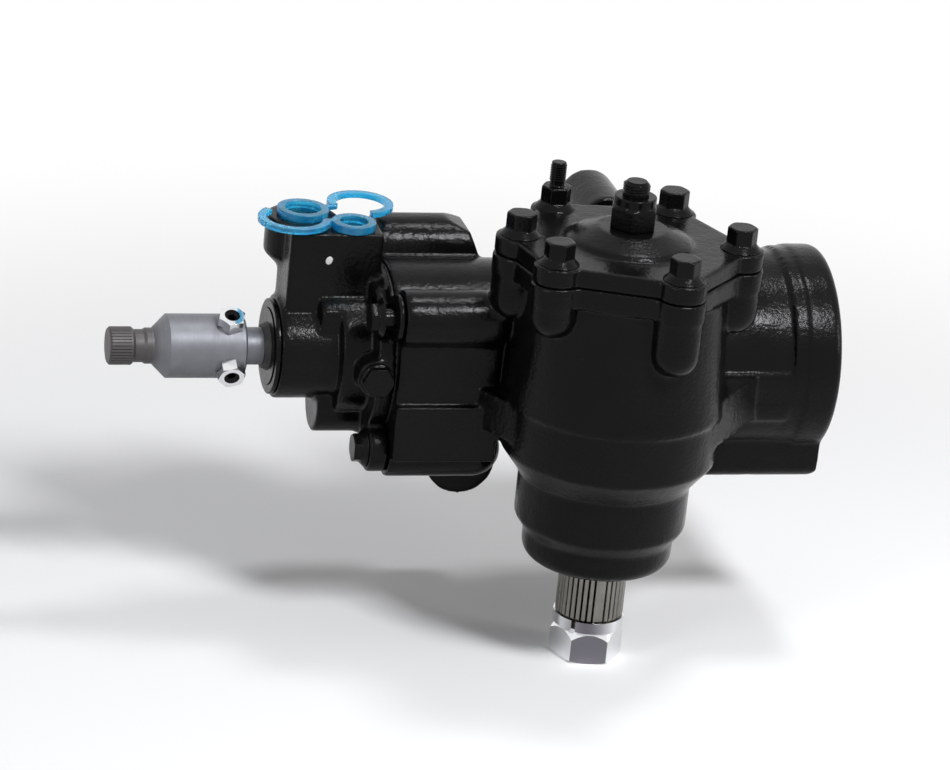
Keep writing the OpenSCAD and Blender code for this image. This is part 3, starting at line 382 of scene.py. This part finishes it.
def couplerFinish(name, look):
    mat = metalFinish(name, look["dark"], look["light"], look["lines"], look["roughness"], look["bump"])
    tree = mat.node_tree
    split = tree.nodes.new("ShaderNodeSeparateXYZ")
    tree.links.new(objectPlace(tree), split.inputs[0])
    darkenBelow(mat, split.outputs["X"], look["noseEnd"], look["nose"])
    tree.nodes["Principled BSDF"].inputs["Metallic"].default_value = look["metallic"]
    return mat


# bright lands, with painted shade darkening the grooves
splineLook = {"dark": (0.14, 0.135, 0.122), "light": (0.25, 0.243, 0.222), "lines": 2500.0, "roughness": (0.2, 0.34),
              "bump": 0.1, "groove": (0.03, 0.028, 0.025), "grooveR": (17.0 * mm, 17.8 * mm)}


def splineFinish(name, look):
    mat = metalFinish(name, look["dark"], look["light"], look["lines"], look["roughness"], look["bump"])
    tree = mat.node_tree
    flat = tree.nodes.new("ShaderNodeVectorMath")
    flat.operation = "MULTIPLY"
    flat.inputs[1].default_value = (1, 1, 0)
    tree.links.new(objectPlace(tree), flat.inputs[0])
    away = tree.nodes.new("ShaderNodeVectorMath")
    away.operation = "LENGTH"
    tree.links.new(flat.outputs["Vector"], away.inputs[0])
    # painted shade: darker inside the groove radius
    darkenBelow(mat, away.outputs["Value"], look["grooveR"], look["groove"])
    return mat


# bright plate with a painted dark reflection on upright faces that are looked at squarely
zincLook = {"dark": (0.72, 0.725, 0.74), "light": (0.88, 0.885, 0.9), "lines": 900.0, "roughness": (0.07, 0.16),
            "bump": 0.06, "paintedDarkReflection": (0.11, 0.1, 0.125), "paintedReflectionSpan": (0.06, 0.42)}


def zincFinish(name, look):
    mat = metalFinish(name, look["dark"], look["light"], look["lines"], look["roughness"], look["bump"])
    tree = mat.node_tree
    weight = tree.nodes.new("ShaderNodeLayerWeight")
    side = tree.nodes.new("ShaderNodeNewGeometry")
    split = tree.nodes.new("ShaderNodeSeparateXYZ")
    tree.links.new(side.outputs["Normal"], split.inputs[0])
    tilt = mathIn(tree, "ABSOLUTE", split.outputs["Z"], 0)
    offSquare = mathIn(tree, "MAXIMUM", weight.outputs["Facing"], tilt)
    # painted reflection: upright faces turned to the camera are darkened
    darkenBelow(mat, offSquare, look["paintedReflectionSpan"], look["paintedDarkReflection"])
    return mat


plasticLook = {"dark": (0.004, 0.4, 0.76), "light": (0.1, 0.64, 0.9), "cloudScale": 170.0, "cloudDetail": 3.0,
               "roughness": (0.16, 0.3), "gloss": 0.25, "clear": 0.75, "ior": 1.46, "glow": 0.5,
               "glowReach": (0.4, 0.9, 1.0), "glowScale": 4 * mm, "waveScale": 300.0, "bump": 0.15}


def plasticFinish(name, look):
    mat, tree, shader, where = newFinish(name)
    cloud = noiseIn(tree, where, look["cloudScale"], look["cloudDetail"])
    tone = mixColor(tree, rangeFrom(tree, cloud, 0, 1), look["dark"], look["light"])
    tree.links.new(tone, shader.inputs["Base Color"])
    tree.links.new(rangeFrom(tree, cloud, *look["roughness"]), shader.inputs["Roughness"])
    shader.inputs["Subsurface Weight"].default_value = look["glow"]
    shader.inputs["Subsurface Radius"].default_value = look["glowReach"]
    shader.inputs["Subsurface Scale"].default_value = look["glowScale"]
    shader.inputs["Specular IOR Level"].default_value = look["gloss"]
    shader.inputs["Transmission Weight"].default_value = look["clear"]
    shader.inputs["IOR"].default_value = look["ior"]
    bumpFrom(tree, shader, noiseIn(tree, where, look["waveScale"]), look["bump"], 0.4 * mm)
    return mat


def rubberFinish(name, dark, light):
    mat, tree, shader, where = newFinish(name)
    cloud = noiseIn(tree, where, 400.0, 3.0)
    tree.links.new(mixColor(tree, cloud, dark, light), shader.inputs["Base Color"])
    tree.links.new(rangeFrom(tree, cloud, 0.5, 0.7), shader.inputs["Roughness"])
    bumpFrom(tree, shader, cloud, 0.2, 0.2 * mm)
    return mat


finishes = {
    "black_enamel": enamelFinish("blackEnamel", 560.0, 3.0, 0.14, (0.16, 0.26)),
    "black_fasteners": enamelFinish("blackFasteners", 700.0, 1.8, 0.14, (0.12, 0.24)),
    "machined_steel": couplerFinish("machinedSteel", couplerLook),
    "bright_steel": splineFinish("brightSteel", splineLook),
    "zinc_plate": zincFinish("zincPlate", zincLook),
    "hardened_steel": metalFinish("hardenedSteel", (0.42, 0.42, 0.43), (0.58, 0.58, 0.59), 2000.0, (0.2, 0.32), 0.1),
    "bronze": metalFinish("bearingBronze", (0.45, 0.27, 0.1), (0.62, 0.42, 0.18), 1800.0, (0.28, 0.42), 0.1),
    "black_rubber": rubberFinish("blackRubber", (0.008, 0.008, 0.008), (0.018, 0.018, 0.018)),
    "ring_plastic": rubberFinish("ringPlastic", (0.2, 0.13, 0.06), (0.3, 0.2, 0.1)),
    "blue_plastic": plasticFinish("bluePlastic", plasticLook),
}
for node, slot in slots.items():
    nodes[node].data.materials.clear()
    nodes[node].data.materials.append(finishes[slot])
print("finishes set:", len(finishes))


edgeSlack = 1.0  # how far past a face its points may lie
weldGap = 0.002 * mm


# port block: its front stands back over the snout's round top and clear of the flange
portBlock = {"left": -167.5, "right": -116.5, "front": 49.0, "top": 176.5, "wormY": 62.0, "wormZ": 109.0,
             "snoutR": 27.0, "bodyR": 35.0, "bodyX": -148.5, "low": 14.0,
             "flangeR": 47.0, "flangeX": -122.5}


def shapeValve(point):
    block = portBlock
    rise = point.z - block["wormZ"]
    if not (block["left"] < point.x < block["right"] and block["low"] < rise and point.z < block["top"]):
        return point
    if point.x > block["flangeX"] and math.hypot(point.y - block["wormY"], rise) < block["flangeR"]:
        return point
    barrel = block["bodyR"] if point.x > block["bodyX"] else block["snoutR"]
    front = block["front"]
    if rise < barrel:
        front = min(front, block["wormY"] - math.sqrt(barrel ** 2 - rise ** 2))
    return Vector((point.x, max(point.y, front), point.z))


# hump over the ball guides, rounded along its top and flared at its end
hump = {"left": -120.0, "right": -50.0, "front": 78.0, "back": 111.0, "top": 170.0, "round": 16.0, "backRound": 14.0,
        "low": 140.0, "flareTop": 150.0, "flare": 6.0, "shift": 4.0, "shiftFrom": -80.0, "shiftFull": -66.0,
        "shiftEnd": -60.0}
# foot of the ring, rounded below and at its end, with a shallow notch
foot = {"left": 44.0, "right": 125.5, "front": 24.0, "back": 50.0, "bottom": 48.0, "round": 9.0, "endRound": 6.0,
        "notchX": 88.0, "notchR": 3.3, "notchShare": 0.35}


def roundOff(inward, upward, radius):
    # depths past the start of a rounded edge, pulled back onto its curve
    away = math.hypot(inward, upward)
    if min(inward, upward) <= 0 or inward > radius + edgeSlack or away <= radius:
        return inward, upward
    return inward * radius / away, upward * radius / away


def shapeFoot(point):
    x, y, z = point
    along = foot["left"] < x < foot["right"] + edgeSlack
    if not (along and y < foot["back"] + edgeSlack and z < foot["bottom"] + foot["round"]):
        return point
    if math.hypot(x - foot["notchX"], z - foot["bottom"]) < foot["notchR"]:
        z = foot["bottom"] + (z - foot["bottom"]) * foot["notchShare"]
    past, down = roundOff(
        x - foot["right"] + foot["endRound"], foot["bottom"] + foot["endRound"] - z, foot["endRound"]
    )
    x, z = foot["right"] - foot["endRound"] + past, foot["bottom"] + foot["endRound"] - down
    out, down = roundOff(foot["front"] + foot["round"] - y, foot["bottom"] + foot["round"] - z, foot["round"])
    return Vector((x, foot["front"] + foot["round"] - out, foot["bottom"] + foot["round"] - down))


def shapeHump(point):
    x, y, z = point
    radius = hump["round"]
    out, up = roundOff(hump["front"] + radius - y, z - hump["top"] + radius, radius)
    y, z = hump["front"] + radius - out, hump["top"] - radius + up
    radius = hump["backRound"]
    out, up = roundOff(y - hump["back"] + radius, z - hump["top"] + radius, radius)
    y, z = hump["back"] - radius + out, hump["top"] - radius + up
    if y > hump["front"] - edgeSlack and z > hump["low"]:
        start = min(max((x - hump["shiftFrom"]) / (hump["shiftFull"] - hump["shiftFrom"]), 0), 1)
        stop = min((hump["right"] - x) / (hump["right"] - hump["shiftEnd"]), 1)
        drop = max(hump["flareTop"] - z, 0) / (hump["flareTop"] - hump["low"])
        x += start * stop * (hump["shift"] + hump["flare"] * drop ** 2)
    return Vector((x, y, z))


def shapeGear(point):
    return shapeHump(point) if hump["left"] < point.x < hump["right"] else shapeFoot(point)


# castings, painted fasteners and plugs: the solid's own shape with softened edges
castings = {
    "gear_housing": {"piece": "housingCasting", "voxel": 1.0, "smooth": 4, "keep": 198000, "shape": shapeGear},
    "valve_housing": {"piece": "valveCasting", "voxel": 0.9, "smooth": 6, "keep": 150000, "shape": shapeValve},
    "sector_cover": {"piece": "coverCasting", "voxel": 0.9, "smooth": 5, "keep": 150000},
    "cover_bolts": {"piece": "paintedCoverBolts", "voxel": 0.45, "smooth": 3, "keep": 90000},
    "stud_bolt": {"piece": "paintedStudBolt", "voxel": 0.4, "smooth": 3, "keep": 40000},
    "valve_bolts": {"piece": "paintedValveBolts", "voxel": 0.45, "smooth": 3, "keep": 80000},
    "passage_plug": {"piece": "paintedPassagePlug", "voxel": 0.4, "smooth": 3, "keep": 30000},
    "adjuster_nut": {"piece": "paintedAdjusterNut", "voxel": 0.4, "smooth": 3, "keep": 40000},
    "adjuster_lock_ring": {"piece": "paintedLockRing", "voxel": 0.4, "smooth": 3, "keep": 40000},
    "pressure_plug": {"piece": "softPressurePlug", "voxel": 0.35, "smooth": 2, "keep": 60000,
                      "body": "pressure_plug"},
    "return_plug": {"piece": "softReturnPlug", "voxel": 0.35, "smooth": 2, "keep": 60000, "body": "return_plug"},
}


def applied(piece):
    graph = bpy.context.evaluated_depsgraph_get()
    mesh = bpy.data.meshes.new_from_object(piece.evaluated_get(graph))
    piece.modifiers.clear()
    old = piece.data
    piece.data = mesh
    bpy.data.meshes.remove(old)


def voxels(piece, size):
    remesh = piece.modifiers.new("voxels", "REMESH")
    remesh.mode = "VOXEL"
    remesh.voxel_size = size * mm
    applied(piece)


def castPiece(node, setup):
    mesh = nodes[node].data.copy()
    bm = bmesh.new()
    bm.from_mesh(mesh)
    bmesh.ops.remove_doubles(bm, verts=bm.verts, dist=weldGap)
    bm.to_mesh(mesh)
    bm.free()
    piece = bpy.data.objects.new(setup["piece"], mesh)
    scene.collection.objects.link(piece)
    voxels(piece, setup["voxel"])
    if "shape" in setup:
        for vert in piece.data.vertices:
            vert.co = setup["shape"](vert.co / mm) * mm
        voxels(piece, setup["voxel"])
    bm = bmesh.new()
    bm.from_mesh(piece.data)
    for _ in range(setup["smooth"]):
        bmesh.ops.smooth_vert(
            bm, verts=bm.verts, factor=0.5, use_axis_x=True, use_axis_y=True, use_axis_z=True
        )
    bmesh.ops.triangulate(bm, faces=bm.faces)
    count = len(bm.faces)
    bm.to_mesh(piece.data)
    bm.free()
    if count > setup["keep"]:
        thin = piece.modifiers.new("thin", "DECIMATE")
        thin.ratio = setup["keep"] / count
        applied(piece)
    for face in piece.data.polygons:
        face.use_smooth = True
    slot = slots[node]
    piece.data.materials.clear()
    piece.data.materials.append(finishes[slot])
    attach(piece, setup.get("body", "housing"))
    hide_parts(node)
    print(setup["piece"], count, "to", len(piece.data.polygons), "triangles")


for node, setup in castings.items():
    castPiece(node, setup)
print("castings made")


# pitman nut: the solid's own shape, turned so that a flat faces the front, with its sharp edges broken
pitmanNut = {"node": "pitman_nut", "turn": -17.1, "flat": 1.0, "edge": 0.5, "edgeSteps": 3, "sharp": 25.0}


def addNut(setup):
    mesh = nodes[setup["node"]].data.copy()
    bm = bmesh.new()
    bm.from_mesh(mesh)
    bmesh.ops.remove_doubles(bm, verts=bm.verts, dist=weldGap)
    turned = Matrix.Rotation(math.radians(setup["turn"]), 3, "Z")
    bmesh.ops.rotate(bm, verts=bm.verts, cent=(0, 0, 0), matrix=turned)
    bmesh.ops.dissolve_limit(bm, angle_limit=math.radians(setup["flat"]), verts=bm.verts, edges=bm.edges)
    sharp = [edge for edge in bm.edges if edge.calc_face_angle(0) > math.radians(setup["sharp"])]
    bmesh.ops.bevel(
        bm, geom=sharp, offset=setup["edge"] * mm, offset_type="OFFSET", affect="EDGES",
        segments=setup["edgeSteps"], profile=0.5, material=-1, clamp_overlap=True,
    )
    for vert in bm.verts:
        vert.co.z = max(vert.co.z, cadBounds[0][2])
    for face in bm.faces:
        face.smooth = True
    bm.to_mesh(mesh)
    bm.free()
    piece = bpy.data.objects.new("turnedPitmanNut", mesh)
    scene.collection.objects.link(piece)
    mesh.materials.clear()
    mesh.materials.append(finishes["zinc_plate"])
    even = piece.modifiers.new("even", "WEIGHTED_NORMAL")
    even.weight = 100
    applied(piece)
    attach(piece, "sector")
    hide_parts(setup["node"])


addNut(pitmanNut)
print("pitman nut made")


# raised threads on the two studs that stand up from the cover
threads = {
    "adjusterThread": {"node": "lash_adjuster", "low": 217.3, "high": 224.3, "pitch": 1.5, "depth": 0.55},
    "studThread": {"node": "stud_bolt", "low": 206.0, "high": 216.2, "pitch": 1.25, "depth": 0.45},
}
# half widths of the ridge in pitches, how far its root is sunk, the stud's end used to find its axis, steps a turn
ridgeForm = {"root": 0.42, "crest": 0.08, "sunk": 0.1, "end": 3.0, "steps": 36}


def addThread(name, setup):
    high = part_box(setup["node"])[1]
    top = [vert.co for vert in nodes[setup["node"]].data.vertices if vert.co.z > high[2] - ridgeForm["end"] * mm]
    acrossX, acrossY = [co.x for co in top], [co.y for co in top]
    middle = Vector(((min(acrossX) + max(acrossX)) / 2, (min(acrossY) + max(acrossY)) / 2, 0))
    outer = max((Vector((co.x, co.y, 0)) - middle).length for co in top)
    root, pitch, depth = outer - ridgeForm["sunk"] * mm, setup["pitch"] * mm, setup["depth"] * mm
    rise = (setup["high"] - setup["low"]) * mm - pitch
    bm = bmesh.new()
    wide, narrow = ridgeForm["root"], ridgeForm["crest"]
    ridge = ((root, -wide), (root + depth, -narrow), (root + depth, narrow), (root, wide))
    corners = [bm.verts.new(middle + Vector((r, 0, setup["low"] * mm + (0.5 + up) * pitch))) for r, up in ridge]
    outline = bm.faces.new(corners)
    turns = rise / pitch
    steps = round(turns * ridgeForm["steps"])
    swept = bmesh.ops.spin(
        bm, geom=[outline, *outline.edges, *outline.verts], cent=middle, axis=(0, 0, 1),
        angle=turns * 2 * math.pi, dvec=(0, 0, rise / steps), steps=steps, use_duplicate=False,
    )
    ending = [item for item in swept["geom_last"] if isinstance(item, bmesh.types.BMFace)]
    print(name, "ends in", len(ending), "face,", len(bm.faces), "faces")
    bmesh.ops.recalc_face_normals(bm, faces=bm.faces)
    mesh = bpy.data.meshes.new(name)
    bm.to_mesh(mesh)
    bm.free()
    piece = bpy.data.objects.new(name, mesh)
    scene.collection.objects.link(piece)
    mesh.materials.append(finishes["black_fasteners"])
    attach(piece, "housing")


for name, setup in threads.items():
    addThread(name, setup)
print("threads made")


# spot of white inspection paint on the front of the port block
paintDot = {"at": (-145.2, 49.0, 161.6), "width": 3.6, "height": 4.6, "thick": 0.35, "lean": 18.0,
            "dark": (0.72, 0.72, 0.7), "light": (0.82, 0.82, 0.8), "cloudScale": 900.0, "roughness": (0.35, 0.5)}


def addPaintDot(setup):
    bm = bmesh.new()
    bmesh.ops.create_uvsphere(bm, u_segments=24, v_segments=12, radius=0.5)
    bmesh.ops.scale(bm, verts=bm.verts, vec=(setup["width"] * mm, setup["thick"] * 2 * mm, setup["height"] * mm))
    leaning = Matrix.Rotation(math.radians(setup["lean"]), 3, "Y")
    bmesh.ops.rotate(bm, verts=bm.verts, cent=(0, 0, 0), matrix=leaning)
    bmesh.ops.translate(bm, verts=bm.verts, vec=Vector(setup["at"]) * mm)
    mesh = bpy.data.meshes.new("paintDot")
    bm.to_mesh(mesh)
    bm.free()
    piece = bpy.data.objects.new("paintDot", mesh)
    scene.collection.objects.link(piece)
    mat, tree, shader, where = newFinish("whitePaint")
    cloud = noiseIn(tree, where, setup["cloudScale"])
    tree.links.new(mixColor(tree, cloud, setup["dark"], setup["light"]), shader.inputs["Base Color"])
    tree.links.new(rangeFrom(tree, cloud, *setup["roughness"]), shader.inputs["Roughness"])
    mesh.materials.append(mat)
    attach(piece, "housing")


addPaintDot(paintDot)
print("paint dot made")
